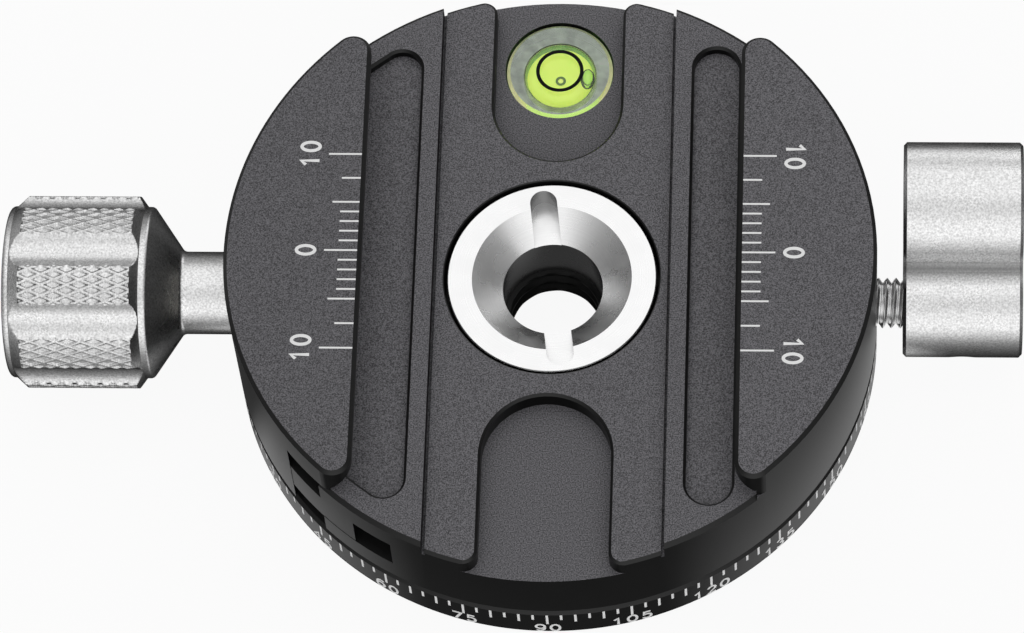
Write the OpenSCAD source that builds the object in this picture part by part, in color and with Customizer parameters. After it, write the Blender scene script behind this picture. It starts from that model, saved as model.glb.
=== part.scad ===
// Panning quick-release clamp for a tripod: a base with a degree band, a turning body with a
// dovetail clamp, a fluted clamp knob, a lock lever and a bubble level. Sizes in millimetres,
// +Z up. The origin is the middle of the base's underside, +X points to the lock lever and
// +Y to the bubble level.

/* [Head] */
// Outside diameter of the base, the turning body and the jaws
head_d = 60; // [59:0.5:66]
// Height of the base from its underside to the top of its degree band
base_h = 4.8; // [4.4:0.1:6]
// Chamfer round the lower edge of the base
base_chamfer = 0.9; // [0.3:0.1:1.2]
// Open gap between the base and the turning body
turn_gap = 0.3; // [0.2:0.05:0.5]
// Height of the turning body up to the floors beside the jaws
body_h = 10; // [9.8:0.1:12]
// Chamfer on the outer edges
edge_chamfer = 0.35; // [0.2:0.05:0.5]

/* [Clamp channel] */
// Chamfer round the pockets and recesses
pocket_chamfer = 0.25; // [0.1:0.05:0.4]
// Height of the jaws above the floors beside them
jaw_h = 3.9; // [3.6:0.1:5]
// Gap between the two jaw lips as drawn
lip_gap = 34.6; // [34.2:0.1:36.4]
// Height of the upright edge of a lip
lip_edge_h = 1.1; // [0.8:0.1:1.4]
// Depth of the dovetail under a lip
lip_undercut = 2; // [1.5:0.1:2.2]
// Radius at the tips of the jaws
tip_round = 1.7; // [1.2:0.1:2.2]
// Width of the middle platform
platform_w = 22; // [21.2:0.1:22.6]
// Drop from the side floors to the platform
platform_drop = 1.15; // [0.8:0.05:1.4]
// Width of the line cut along each side of the platform
line_cut = 0.3; // [0.2:0.05:0.4]
// Depth of that line
line_depth = 0.7; // [0.3:0.1:1]
// Width of the two recesses that open to the rim
recess_w = 11.9; // [11.4:0.1:13]
// Depth of the recesses under the platform
recess_depth = 1.95; // [1.4:0.05:2.4]
// Distance from the pan axis to the round end of a recess
recess_start = 12.2; // [11.8:0.1:12.8]
// Radius at the corners of a recess's mouth
mouth_round = 1.3; // [0.8:0.1:1.6]
// Distance from the pan axis to the near side of a long pocket
pocket_start = 12.8; // [12.2:0.1:13]
// Width of the long pocket beside the fixed jaw
pocket_w = 4.2; // [3.4:0.1:4.6]
// Width of the long pocket that runs under the moving jaw
left_pocket_w = 5.2; // [4.6:0.1:5.6]
// Length of the long pocket beside the fixed jaw
pocket_l = 47; // [40:0.2:48]
// Wall between the ends of the pocket under the moving jaw and the rim
pocket_wall = 2.4; // [2:0.1:4]
// Radius at the inner corners of that pocket
pocket_corner = 1.85; // [1.2:0.05:2.4]
// Depth of a long pocket
pocket_depth = 1; // [0.6:0.1:1.4]

/* [Moving jaw] */
// Distance from the pan axis to the body's flat side
side_x = 21; // [20.6:0.1:21.2]
// Distance from the pan axis to the jaw's inner wall
jaw_wall_x = 23.5; // [23.4:0.1:24.2]
// Travel of the jaw when it opens
open_travel = 3.2; // [3:0.1:3.6]
// Travel of the jaw when it closes
close_travel = 1.8; // [1.4:0.1:1.9]
// Thickness of the flange under the tongue slot
lower_flange = 3; // [2.8:0.1:3.3]
// Height of the tongue slot
slot_h = 4; // [3.6:0.1:4.2]
// Distance from the pan axis to the end of the wide tongues
tongue_end = 17.5; // [17.2:0.1:18]
// Distance from the pan axis to the end of the guide fingers
finger_end = 13.2; // [13.1:0.1:14]
// Half the width of the solid web between the tongues
web_half = 6.5; // [6:0.1:7]
// Width of a guide finger
finger_w = 6.5; // [5:0.1:7]
// Diameter of the stop screw's dog point
stop_dog_d = 2; // [1.6:0.1:2.2]
// Diameter of the stop screw's thread
stop_d = 3; // [2.6:0.1:3.4]

/* [Clamp screw and knob] */
// Diameter of the clamp screw
screw_d = 6; // [5:0.1:6.4]
// Length of screw thread inside the body as drawn
screw_grip = 5.2; // [4.6:0.1:5.4]
// Outer diameter of the return spring
spring_d = 8.1; // [7.9:0.1:8.2]
// Wire diameter of the return spring
spring_wire = 0.6; // [0.4:0.05:0.7]
// Turns of the return spring
spring_turns = 5; // [4:1:6]
// Depth of the spring's seat in the body
body_seat = 2.5; // [2:0.1:2.8]
// Depth of the spring's seat in the jaw
jaw_seat = 2.6; // [2:0.1:2.8]
// Outer diameter of the thrust washer
washer_d = 8.6; // [8.2:0.1:9]
// Thickness of the thrust washer
washer_t = 0.6; // [0.4:0.1:0.8]
// Diameter of the knob's neck
neck_d = 7.7; // [7.2:0.1:8]
// Length of the neck outside the jaw
neck_l = 4.45; // [3:0.05:6]
// Length of the cone between neck and grip
cone_l = 2.45; // [2:0.05:4]
// Diameter over the grip pads
knob_d = 17.9; // [17:0.1:19]
// Diameter of the smooth rims at the ends of the grip
rim_d = 16; // [15:0.1:16.1]
// Width of the smooth rim next to the cone
rim_w = 1.1; // [0.8:0.1:1.6]
// Width of the smooth rim at the outer end
end_rim_w = 0.6; // [0.5:0.1:1.2]
// Length of the bevel at each end of the grip pads
bevel_w = 0.7; // [0.4:0.1:1.2]
// Length of the grip with its rims
knob_l = 13.7; // [11:0.1:16]
// Number of flutes round the grip
flutes = 8; // [6:1:10]
// Radius of a flute
flute_r = 2.6; // [2.2:0.1:2.8]
// Diameter across the bottoms of the flutes
flute_floor_d = 16.2; // [16.1:0.1:16.8]
// Diameter of the grub screws in knob and lever
grub_d = 3; // [2.6:0.1:3.2]

/* [Hub] */
// Diameter of the base's hub
hub_d = 15.9; // [15.4:0.1:16.2]
// Pitch diameter of the tripod thread
thread_d = 8.5; // [8:0.1:8.9]
// Diameter of the relief at the mouth of the tripod thread
relief_d = 12.4; // [10:0.2:14]
// Depth of that relief
relief_h = 2.2; // [0.5:0.1:2.4]
// Diameter of the hub nut
nut_d = 19.4; // [19:0.1:19.7]
// Drop from the platform to the top of the hub nut
nut_drop = 0.25; // [0.1:0.05:0.4]
// Chamfer round the nut's rim and round the counterbore it sits in
nut_chamfer = 0.1; // [0.05:0.05:0.3]
// Diameter of the nut's bore
nut_bore_d = 9.3; // [9:0.1:9.8]
// Diameter of the nut's countersink
sink_d = 14.8; // [13:0.1:15.4]
// Depth of the nut's countersink
sink_depth = 2.3; // [1.6:0.1:2.6]
// Diameter of the nut's threaded shank
shank_d = 12; // [11.6:0.1:12.4]
// Length of the shank
shank_l = 4.2; // [3:0.1:4.4]
// Width of the driver slot across the nut
driver_w = 2.5; // [1.8:0.1:3]
// Length of the driver slot
driver_l = 18.2; // [16:0.1:18.4]
// Depth of the driver slot
driver_depth = 2.4; // [1.4:0.1:2.5]
// Turn of the driver slot from the Y axis
driver_turn = 7.3; // [-45:0.1:45]
// Width of the upper bearing ring round the hub
upper_ring_w = 1.5; // [1.2:0.05:1.8]
// Thickness of the upper bearing ring
upper_ring_t = 0.4; // [0.3:0.05:0.5]
// Inner diameter of the lower bearing ring
lower_ring_in = 36; // [30:0.5:40]
// Outer diameter of the lower bearing ring
lower_ring_out = 50; // [44:0.5:54]
// Depth of the lower bearing ring's groove
ring_groove = 0.7; // [0.4:0.1:1]

/* [Panning lock] */
// Height of the lock stud above the body's underside
stud_up = 3.8; // [3.4:0.1:4]
// Diameter of the lock stud
stud_d = 4.7; // [4.2:0.1:5]
// Length of the brake plug's wide end
plug_l = 6; // [4:0.1:8]
// Diameter of the brake plug's nose
nose_d = 1.8; // [1.4:0.1:2]
// Length of the brake plug's nose
nose_l = 5.8; // [5:0.1:7]
// Gap between the brake plug and the hub as drawn
brake_gap = 0.15; // [0.1:0.05:0.3]
// Gap between the body and the lever
lever_gap = 2.4; // [1:0.1:4]
// Width of the lever along the stud
lever_w = 11; // [8:0.1:14]
// Radius of the lever's hub
lever_hub_r = 5; // [4.6:0.1:6]
// Distance from the stud to the middle of the lever's tip
lever_arm = 9; // [8:0.1:10.5]
// Radius of the lever's tip
lever_tip_r = 6; // [5:0.1:6.8]
// Radius of the hollow between hub and tip
lever_blend_r = 0.8; // [0.6:0.1:3]
// Chamfer on the lever's ends
lever_chamfer = 0.3; // [0.2:0.05:0.6]
// Angle of the lever above the Y axis
lever_angle = 35; // [0:1:90]

/* [Bubble level] */
// Distance from the rim in to the middle of the level
level_inset = 7.2; // [7:0.1:10]
// Outside diameter of the vial
level_d = 10.2; // [9:0.1:10.6]
// Height of the vial
level_h = 3.9; // [3.4:0.1:5]
// How far the vial sits under the recess's floor
level_sink = 0.1; // [0.05:0.05:0.4]
// Bevel round the top of the vial
level_bevel = 0.45; // [0.2:0.05:0.6]
// Diameter of the liquid
fluid_d = 7; // [6:0.1:7.6]
// Thickness of the vial's lens
lens_t = 0.8; // [0.5:0.1:1]
// Thickness of the plug under the liquid
backing_t = 0.9; // [0.6:0.1:1.2]
// Outer diameter of the target ring
target_d = 4.6; // [3.6:0.1:5]
// Width of the target ring's line
target_w = 0.25; // [0.15:0.05:0.4]
// Thickness of the target ring
target_t = 0.1; // [0.05:0.05:0.2]
// Diameter of the bubble
bubble_d = 1; // [0.6:0.1:1]

/* [Fits] */
// Running clearance on a radius
run_gap = 0.05; // [0.03:0.01:0.08]
// Clearance between pieces that stay together
seat_gap = 0.03; // [0.02:0.01:0.05]
// Clearance over which parts pass each other freely
free_gap = 0.3; // [0.2:0.05:0.4]
// Clearance round the liquid and the bubble in the level
level_gap = 0.05; // [0.03:0.01:0.08]

/* [Hidden] */
$fn = 96;
// How far a cutting shape runs past what it cuts
past = 1;
black = [0.16, 0.16, 0.17];
silver = [0.78, 0.79, 0.80];
steel = [0.86, 0.86, 0.86];

// Heights
head_r = head_d / 2;
body_z = base_h + turn_gap;
floor_z = body_z + body_h;
jaw_top = floor_z + jaw_h;
platform_z = floor_z - platform_drop;
recess_z = platform_z - recess_depth;
pocket_z = floor_z - pocket_depth;
slot_z = body_z + lower_flange;
screw_z = slot_z + slot_h / 2;
stud_z = body_z + stud_up;

// Hub stack: the nut sits on the hub and traps the body's inner lip under the upper ring
ring_clear = 0.05;
hub_wall_over_nose = 0.7;
hub_top = stud_z + nose_d / 2 + hub_wall_over_nose;
lip_top = hub_top - upper_ring_t - ring_clear;
nut_top = platform_z - nut_drop;
nut_room = 0.3;
upper_ring_r = hub_d / 2 + run_gap + upper_ring_w;
counterbore_r = max(nut_d / 2, upper_ring_r) + nut_room;
shank_z = hub_top - shank_l;

// Clamp screw, from the pan axis outwards along -X
lip_x = lip_gap / 2;
spring_room = 0.15;
spring_seat_r = spring_d / 2 + spring_room;
screw_tip = side_x - body_seat - screw_grip;
screw_hole_end = screw_tip - close_travel - free_gap;
finger_hole_end = finger_end - close_travel - free_gap;
slot_spare = 1.4;
tongue_slot_end = tongue_end - close_travel - free_gap - slot_spare;
washer_sunk = 0.4;
washer_seat = head_r - washer_t - washer_sunk;
washer_room = 0.2;
neck_end = washer_seat + washer_t + seat_gap;
cone_x = head_r + neck_l;
grip_x = cone_x + cone_l;
knob_end = grip_x + knob_l;
screw_in_knob = 12;
screw_end = cone_x + screw_in_knob;
stop_inset = 2.5;
stop_x = side_x - stop_inset;
stop_y = web_half + finger_w / 2;

// Lock stud, from the pan axis outwards along +X
nose_tip = hub_d / 2 + brake_gap;
plug_step = nose_tip + nose_l;
plug_end = plug_step + plug_l;
stud_start = plug_end + run_gap;
lever_x = head_r + lever_gap;
lever_end_wall = 2;
stud_end = lever_x + lever_w - lever_end_wall;

// A ring round the Z axis
module ring(r_in, r_out, h) {
    difference() {
        cylinder(r = r_out, h = h);
        translate([0, 0, -past])
            cylinder(r = r_in, h = h + 2 * past);
    }
}

// A rod along X at height z, between two x values
module x_rod(r, x0, x1, z) {
    translate([min(x0, x1), 0, z])
        rotate([0, 90, 0])
            cylinder(r = r, h = abs(x1 - x0));
}

// A solid of revolution along X: points are [distance from x0, radius]
module x_turned(points, x0, z, way = 1) {
    translate([x0, 0, z])
        rotate([0, 90 * way, 0])
            rotate_extrude()
                polygon([for (p = points) [p[1], p[0]]]);
}

// A round disc with chamfers at both ends
module chamfered_disc(r, z0, z1, c0, c1) {
    rotate_extrude()
        polygon([
            [0, z0], [r - c0, z0], [r, z0 + c0], [r, z1 - c1], [r - c1, z1], [0, z1]
        ]);
}

// A cross-section in X and Z carried along Y over the whole head
module along_y(points) {
    translate([0, head_r + past, 0])
        rotate([90, 0, 0])
            linear_extrude(2 * (head_r + past))
                polygon(points);
}

// What a round takes off the corner between a straight edge at edge_x and the outer circle
module corner_cut(edge_x, r, z0, z1, c = 0) {
    cx = edge_x + r;
    cy = sqrt(pow(head_r - r, 2) - cx * cx);
    reach = 4 * r;
    way = [cx, cy] / norm([cx, cy]);
    translate([cx, cy, 0])
        difference() {
            translate([0, 0, z0])
                linear_extrude(z1 - z0 + past)
                    polygon([
                        [0, 0], [-reach, 0], [-reach, reach] + reach * way, reach * way
                    ]);
            translate([0, 0, z0 - past])
                cylinder(r = r, h = z1 - c - z0 + past);
            translate([0, 0, z1 - c])
                cylinder(r1 = r, r2 = r - c, h = c);
        }
}

// Its children and their mirror image across the XZ plane
module both_ends() {
    children();
    mirror([0, 1, 0])
        children();
}

// What a chamfer takes off the rim at height z between two x values
module rim_cut(z, c, x0, x1) {
    intersection() {
        rotate_extrude()
            polygon([
                [head_r - c, z + past], [head_r - c, z], [head_r, z - c],
                [head_r + past, z - c], [head_r + past, z + past]
            ]);
        translate([x0, -head_r - past, z - head_r])
            cube([x1 - x0, 2 * (head_r + past), 2 * head_r]);
    }
}

// An upright slot with round ends along Y
module y_slot(w, l, z0, z1) {
    straight = l - w;
    translate([-w / 2, -straight / 2, z0])
        cube([w, straight, z1 - z0]);
    both_ends()
        translate([0, straight / 2, z0])
            cylinder(d = w, h = z1 - z0);
}

// What a chamfer of size c takes off the edges of a slot with round ends along Y, at height z
module y_slot_chamfer(w, l, z, c) {
    straight = l - w;
    translate([0, straight / 2, z])
        rotate([90, 0, 0])
            linear_extrude(straight)
                polygon([
                    [-w / 2, -c], [w / 2, -c], [w / 2 + c + past, past], [-w / 2 - c - past, past]
                ]);
    both_ends()
        translate([0, straight / 2, z - c])
            cylinder(r1 = w / 2, r2 = w / 2 + c + past, h = c + past);
}

// An open recess from its round inner end out past the rim along +Y
module rim_recess() {
    mid_y = recess_start + recess_w / 2;
    translate([0, mid_y, recess_z])
        cylinder(d = recess_w, h = recess_depth + past);
    translate([-recess_w / 2, mid_y, recess_z])
        cube([recess_w, head_r, recess_depth + past]);
    translate([0, mid_y + head_r / 2, 0])
        y_slot_chamfer(recess_w, recess_w + head_r, platform_z, pocket_chamfer);
    corner_cut(recess_w / 2, mouth_round, recess_z, platform_z, pocket_chamfer);
    mirror([1, 0, 0])
        corner_cut(recess_w / 2, mouth_round, recess_z, platform_z, pocket_chamfer);
}

module base_plate() {
    seat_in = 18;
    seat_out = 44;
    seat_depth = 0.4;
    mouth = 0.5;
    color(black)
        difference() {
            rotate_extrude()
                polygon([
                    [relief_d / 2, 0],
                    [head_r - base_chamfer, 0],
                    [head_r, base_chamfer],
                    [head_r, base_h - edge_chamfer],
                    [head_r - edge_chamfer, base_h],
                    [lower_ring_out / 2 + seat_gap, base_h],
                    [lower_ring_out / 2 + seat_gap, base_h - ring_groove],
                    [lower_ring_in / 2 - seat_gap, base_h - ring_groove],
                    [lower_ring_in / 2 - seat_gap, base_h],
                    [hub_d / 2, base_h],
                    [hub_d / 2, hub_top],
                    [shank_d / 2 + seat_gap, hub_top],
                    [shank_d / 2 + seat_gap, shank_z - seat_gap],
                    [thread_d / 2, shank_z - seat_gap],
                    [thread_d / 2, relief_h + mouth],
                    [thread_d / 2 + mouth, relief_h],
                    [relief_d / 2, relief_h]
                ]);
            translate([0, 0, -past])
                ring(seat_in / 2, seat_out / 2, seat_depth + past);
        }
}

module lower_bearing_ring() {
    color([0.92, 0.90, 0.84])
        translate([0, 0, base_h - ring_groove])
            ring(lower_ring_in / 2, lower_ring_out / 2, ring_groove + turn_gap - ring_clear);
}

module hub_nut() {
    color(steel)
        difference() {
            rotate_extrude()
                polygon([
                    [nut_bore_d / 2, shank_z],
                    [shank_d / 2, shank_z],
                    [shank_d / 2, hub_top],
                    [nut_d / 2, hub_top],
                    [nut_d / 2, nut_top - nut_chamfer],
                    [nut_d / 2 - nut_chamfer, nut_top],
                    [sink_d / 2, nut_top],
                    [nut_bore_d / 2, nut_top - sink_depth]
                ]);
            rotate([0, 0, driver_turn])
                y_slot(driver_w, driver_l, nut_top - driver_depth, nut_top + past);
        }
}

module upper_bearing_ring() {
    color([0.92, 0.90, 0.84])
        translate([0, 0, hub_top - upper_ring_t])
            ring(hub_d / 2 + run_gap, upper_ring_r, upper_ring_t);
}

// The turning body's cross-section: floors, platform, cut lines and the fixed jaw
function body_outline() = [
    [-side_x, body_z - past],
    [head_r + past, body_z - past],
    [head_r + past, jaw_top + past],
    [lip_x + edge_chamfer, jaw_top + past],
    [lip_x + edge_chamfer, jaw_top],
    [lip_x, jaw_top - edge_chamfer],
    [lip_x, jaw_top - lip_edge_h],
    [lip_x + lip_undercut, jaw_top - lip_edge_h - lip_undercut],
    [lip_x + lip_undercut, floor_z],
    [platform_w / 2, floor_z],
    [platform_w / 2, platform_z - line_depth],
    [platform_w / 2 - line_cut, platform_z - line_depth],
    [platform_w / 2 - line_cut, platform_z],
    [line_cut - platform_w / 2, platform_z],
    [line_cut - platform_w / 2, platform_z - line_depth],
    [-platform_w / 2, platform_z - line_depth],
    [-platform_w / 2, floor_z],
    [-side_x, floor_z]
];

// What the tongues of the moving jaw need inside the body
module tongue_room() {
    both_ends() {
        translate([-side_x - past, web_half, slot_z])
            cube([side_x + past - tongue_slot_end, head_r, slot_h]);
        translate([-side_x - past, web_half, slot_z])
            cube([side_x + past - finger_hole_end, finger_w + 2 * run_gap, slot_h]);
    }
}

// The long pocket in the floor beside the fixed jaw
module long_pocket() {
    translate([pocket_start + pocket_w / 2, 0, 0]) {
        y_slot(pocket_w, pocket_l, pocket_z, floor_z + past);
        y_slot_chamfer(pocket_w, pocket_l, floor_z, pocket_chamfer);
    }
}

// A round post or well of radius r from the pocket's bottom, with its chamfer at the floor
module pocket_round(r) {
    translate([0, 0, pocket_z])
        cylinder(r = r, h = pocket_depth);
    translate([0, 0, floor_z - pocket_chamfer])
        cylinder(r1 = r, r2 = r + pocket_chamfer + past, h = pocket_chamfer + past);
}

// The pocket under the moving jaw, whose ends keep a wall along the rim and have a round inner corner
module jaw_pocket() {
    corner_lap = 0.03;
    wall_r = head_r - pocket_wall;
    far_x = -pocket_start - left_pocket_w;
    corner_x = -pocket_start - pocket_corner;
    corner_far = wall_r - pocket_corner + corner_lap;
    corner_y = sqrt(corner_far * corner_far - corner_x * corner_x);
    meet_x = corner_x * wall_r / corner_far;
    intersection() {
        along_y([
            [far_x, pocket_z], [meet_x, pocket_z], [meet_x, floor_z + past],
            [far_x - pocket_chamfer - past, floor_z + past], [far_x, floor_z - pocket_chamfer]
        ]);
        pocket_round(wall_r);
    }
    translate([0, corner_y, 0])
        rotate([90, 0, 0])
            linear_extrude(2 * corner_y)
                polygon([
                    [meet_x - pocket_corner / 2, pocket_z], [-pocket_start, pocket_z],
                    [-pocket_start, floor_z - pocket_chamfer],
                    [pocket_chamfer + past - pocket_start, floor_z + past],
                    [meet_x - pocket_corner / 2, floor_z + past]
                ]);
    both_ends()
        translate([corner_x, corner_y, 0])
            pocket_round(pocket_corner);
}

module clamp_body() {
    floor_rim_c = 0.4;
    platform_rim_c = 0.3;
    flange_round = 1.5;
    color(black)
        difference() {
            intersection() {
                chamfered_disc(head_r, body_z, jaw_top, edge_chamfer, edge_chamfer);
                along_y(body_outline());
            }
            both_ends() {
                corner_cut(lip_x, tip_round, floor_z, jaw_top, edge_chamfer);
                corner_cut(-side_x, flange_round, body_z - past, floor_z);
                rim_recess();
            }
            rim_cut(floor_z, floor_rim_c, -head_r - past, -platform_w / 2);
            rim_cut(floor_z, floor_rim_c, platform_w / 2, lip_x + lip_undercut);
            rim_cut(platform_z, platform_rim_c, -platform_w / 2, platform_w / 2);
            long_pocket();
            jaw_pocket();
            translate([0, 0, body_z - past])
                cylinder(r = hub_d / 2 + run_gap, h = body_h);
            translate([0, 0, lip_top])
                cylinder(r = counterbore_r, h = body_h);
            translate([0, 0, platform_z - nut_chamfer])
                cylinder(r1 = counterbore_r, r2 = counterbore_r + nut_chamfer + past,
                         h = nut_chamfer + past);
            tongue_room();
            x_rod(spring_seat_r, -side_x - past, body_seat - side_x, screw_z);
            x_rod(screw_d / 2 + run_gap, -side_x, -screw_hole_end, screw_z);
            x_rod(stud_d / 2 + run_gap, plug_step - free_gap, head_r + past, stud_z);
            x_rod(nose_d / 2 + run_gap, hub_d / 4, plug_step, stud_z);
            translate([-stop_x, -stop_y, body_z - past])
                cylinder(d = stop_d + 2 * seat_gap, h = lower_flange + 2 * past);
            translate([0, level_y, level_floor - seat_gap])
                cylinder(d = level_d + 2 * seat_gap, h = level_h + level_sink + 2 * seat_gap);
        }
}

module jaw_stop_screw() {
    dog_l = 1.6;
    socket = 1.5;
    color(steel)
        translate([-stop_x, -stop_y, body_z + free_gap])
            difference() {
                union() {
                    cylinder(d = stop_d, h = lower_flange - free_gap);
                    cylinder(d = stop_dog_d, h = lower_flange - free_gap + dog_l);
                }
                translate([0, 0, -past])
                    cylinder(d = socket, h = past + socket / 2, $fn = 6);
            }
}

// Places inside the level, from its lens down to its backing plug. The bubble lies flat under the
// lens, beside the target ring
level_y = head_r - level_inset;
level_top = recess_z - level_sink;
level_floor = level_top - level_h;
fluid_top = level_top - lens_t - seat_gap;
backing_top = level_floor + backing_t;
bubble_sink = 0.3 * bubble_d;
bubble_x = target_d / 2 + level_gap + bubble_d / 2;
bubble_z = fluid_top - bubble_sink;

module level_vial() {
    color([0.80, 0.90, 0.84, 0.5])
        translate([0, level_y, 0])
            difference() {
                chamfered_disc(level_d / 2, level_floor, level_top, 0, level_bevel);
                translate([0, 0, level_floor - past])
                    cylinder(d = fluid_d, h = level_h - lens_t + past);
                translate([0, 0, level_top - target_t - seat_gap])
                    ring(target_d / 2 - target_w - seat_gap, target_d / 2 + seat_gap, target_t + past);
            }
}

module level_fluid() {
    color([0.72, 0.92, 0.25, 0.8])
        translate([0, level_y, 0])
            difference() {
                translate([0, 0, backing_top + level_gap])
                    cylinder(d = fluid_d - 2 * level_gap, h = fluid_top - backing_top - level_gap);
                translate([bubble_x, 0, bubble_z])
                    sphere(d = bubble_d + 2 * level_gap);
            }
}

module level_bubble() {
    color([0.92, 0.98, 0.85, 0.6])
        translate([bubble_x, level_y, bubble_z])
            difference() {
                sphere(d = bubble_d);
                translate([-bubble_d, -bubble_d, bubble_sink])
                    cube(2 * bubble_d);
            }
}

module level_mark_ring() {
    color([0.03, 0.03, 0.03])
        translate([0, level_y, level_top - target_t])
            ring(target_d / 2 - target_w, target_d / 2, target_t);
}

module level_backing() {
    color([0.90, 0.96, 0.55])
        translate([0, level_y, level_floor])
            cylinder(d = fluid_d - 2 * seat_gap, h = backing_t);
}

// The moving jaw's cross-section, on the -X side
function jaw_outline() = [
    [-head_r - past, body_z - past],
    [-jaw_wall_x, body_z - past],
    [-jaw_wall_x, floor_z + free_gap],
    [-lip_x - lip_undercut, floor_z + free_gap],
    [-lip_x - lip_undercut, jaw_top - lip_edge_h - lip_undercut],
    [-lip_x, jaw_top - lip_edge_h],
    [-lip_x, jaw_top - edge_chamfer],
    [-lip_x - edge_chamfer, jaw_top],
    [-lip_x - edge_chamfer, jaw_top + past],
    [-head_r - past, jaw_top + past]
];

// The two tongues that slide in the body's side slot
module tongues() {
    tongue_h = slot_h - 2 * run_gap;
    tongue_r = head_r - seat_gap;
    root = 0.5;
    intersection() {
        translate([0, 0, slot_z + run_gap])
            cylinder(r = tongue_r, h = tongue_h);
        both_ends() {
            translate([-jaw_wall_x - root, web_half + run_gap, slot_z])
                cube([jaw_wall_x + root - tongue_end, head_r, slot_h]);
            translate([-jaw_wall_x - root, web_half + run_gap, slot_z])
                cube([jaw_wall_x + root - finger_end, finger_w, slot_h]);
        }
    }
}

module moving_jaw() {
    stop_room = stop_dog_d + 2 * free_gap;
    stop_depth = 2;
    color(black)
        difference() {
            union() {
                difference() {
                    intersection() {
                        chamfered_disc(head_r, body_z, jaw_top, edge_chamfer, edge_chamfer);
                        along_y(jaw_outline());
                    }
                    mirror([1, 0, 0])
                        both_ends()
                            corner_cut(lip_x, tip_round, floor_z, jaw_top, edge_chamfer);
                }
                tongues();
            }
            x_rod(screw_d / 2 + free_gap, -head_r - past, -jaw_wall_x + past, screw_z);
            x_rod(spring_seat_r, -jaw_wall_x - jaw_seat, -jaw_wall_x + past, screw_z);
            x_rod(washer_d / 2 + seat_gap, -head_r - past, -washer_seat, screw_z);
            translate([-stop_x - close_travel - stop_room / 2, -stop_y - stop_room / 2, slot_z])
                cube([open_travel + close_travel + stop_room, stop_room, stop_depth]);
        }
}

module thrust_washer() {
    color([0.85, 0.85, 0.83])
        difference() {
            x_rod(washer_d / 2, -washer_seat - washer_t, -washer_seat, screw_z);
            x_rod(screw_d / 2 + washer_room, -head_r - past, -washer_seat + past, screw_z);
        }
}

// The return spring is one tube wound round the clamp screw, seated in the body and the jaw
turn_rings = 8;
spring_rings = turn_rings * spring_turns + 1;
spring_sides = 6;
spring_mean_r = (spring_d - spring_wire) / 2;
spring_x0 = -jaw_wall_x - jaw_seat + spring_wire / 2 + seat_gap;
spring_x1 = body_seat - side_x - spring_wire / 2 - seat_gap;
spring_step = (spring_x1 - spring_x0) / (spring_rings - 1);

function spring_angle(i) = 360 * i / turn_rings;
function spring_mid(i) = [
    spring_x0 + spring_step * i,
    spring_mean_r * cos(spring_angle(i)),
    screw_z + spring_mean_r * sin(spring_angle(i))
];
function spring_out(i) = [0, cos(spring_angle(i)), sin(spring_angle(i))];
function spring_point(i, k) =
    let (turn = 360 * k / spring_sides)
    spring_mid(i) + spring_wire / 2 * (cos(turn) * spring_out(i) + sin(turn) * [1, 0, 0]);

// Least gap of the spring to itself, measured between points a half turn or more apart
spring_gap = min([
    for (i = [0 : spring_rings - 1], j = [i + turn_rings / 2 : 1 : spring_rings - 1])
        norm(spring_mid(i) - spring_mid(j)) - spring_wire
]);

module return_spring() {
    last = spring_rings - 1;
    points = [for (i = [0 : last], k = [0 : spring_sides - 1]) spring_point(i, k)];
    walls = [
        for (i = [0 : last - 1], k = [0 : spring_sides - 1])
            let (a = i * spring_sides + k)
            let (b = i * spring_sides + (k + 1) % spring_sides)
            each [[a, b, b + spring_sides], [a, b + spring_sides, a + spring_sides]]
    ];
    start_cap = [for (k = [1 : spring_sides - 2]) [0, k + 1, k]];
    base = last * spring_sides;
    end_cap = [for (k = [1 : spring_sides - 2]) [base, base + k, base + k + 1]];
    echo(spring_gap = spring_gap);
    color([0.75, 0.76, 0.78])
        polyhedron(points, concat(walls, start_cap, end_cap));
}

module clamp_screw() {
    tip_c = 0.6;
    color(steel)
        x_turned([
            [0, 0],
            [0, screw_d / 2 - tip_c],
            [tip_c, screw_d / 2],
            [screw_end - screw_tip, screw_d / 2],
            [screw_end - screw_tip, 0]
        ], -screw_tip, screw_z, -1);
}

// A grub screw along its own Z axis, with a hexagon socket at its outer end
module grub_screw(d, l) {
    socket_d = d / 2;
    difference() {
        cylinder(d = d, h = l);
        translate([0, 0, l - socket_d])
            cylinder(d = socket_d, h = socket_d + past, $fn = 6);
    }
}

grub_x = grip_x + knob_l / 2;
knob_grub_l = 3;
lever_grub_l = 2;

module clamp_knob() {
    end_dish_r = 4.6;
    end_dish = 0.6;
    end_c = 0.4;
    color(silver)
        difference() {
            x_turned([
                [0, screw_d / 2 + seat_gap],
                [0, neck_d / 2],
                [cone_x - neck_end, neck_d / 2],
                [grip_x - neck_end, rim_d / 2],
                [grip_x - neck_end + rim_w, rim_d / 2],
                [grip_x - neck_end + rim_w + bevel_w, knob_d / 2],
                [knob_end - neck_end - end_rim_w - bevel_w, knob_d / 2],
                [knob_end - neck_end - end_rim_w, rim_d / 2],
                [knob_end - neck_end - end_c, rim_d / 2],
                [knob_end - neck_end, rim_d / 2 - end_c],
                [knob_end - neck_end, end_dish_r],
                [knob_end - neck_end - end_dish, end_dish_r - end_dish],
                [knob_end - neck_end - end_dish, 0],
                [screw_end - neck_end + seat_gap, 0],
                [screw_end - neck_end + seat_gap, screw_d / 2 + seat_gap]
            ], -neck_end, screw_z, -1);
            for (i = [0 : flutes - 1])
                translate([0, 0, screw_z])
                    rotate([360 * i / flutes, 0, 0])
                        x_rod(flute_r, end_rim_w - knob_end, -grip_x - rim_w,
                              flute_floor_d / 2 + flute_r);
            translate([-grub_x, 0, screw_z - knob_d])
                cylinder(d = grub_d + 2 * seat_gap, h = knob_d);
        }
}

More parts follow.
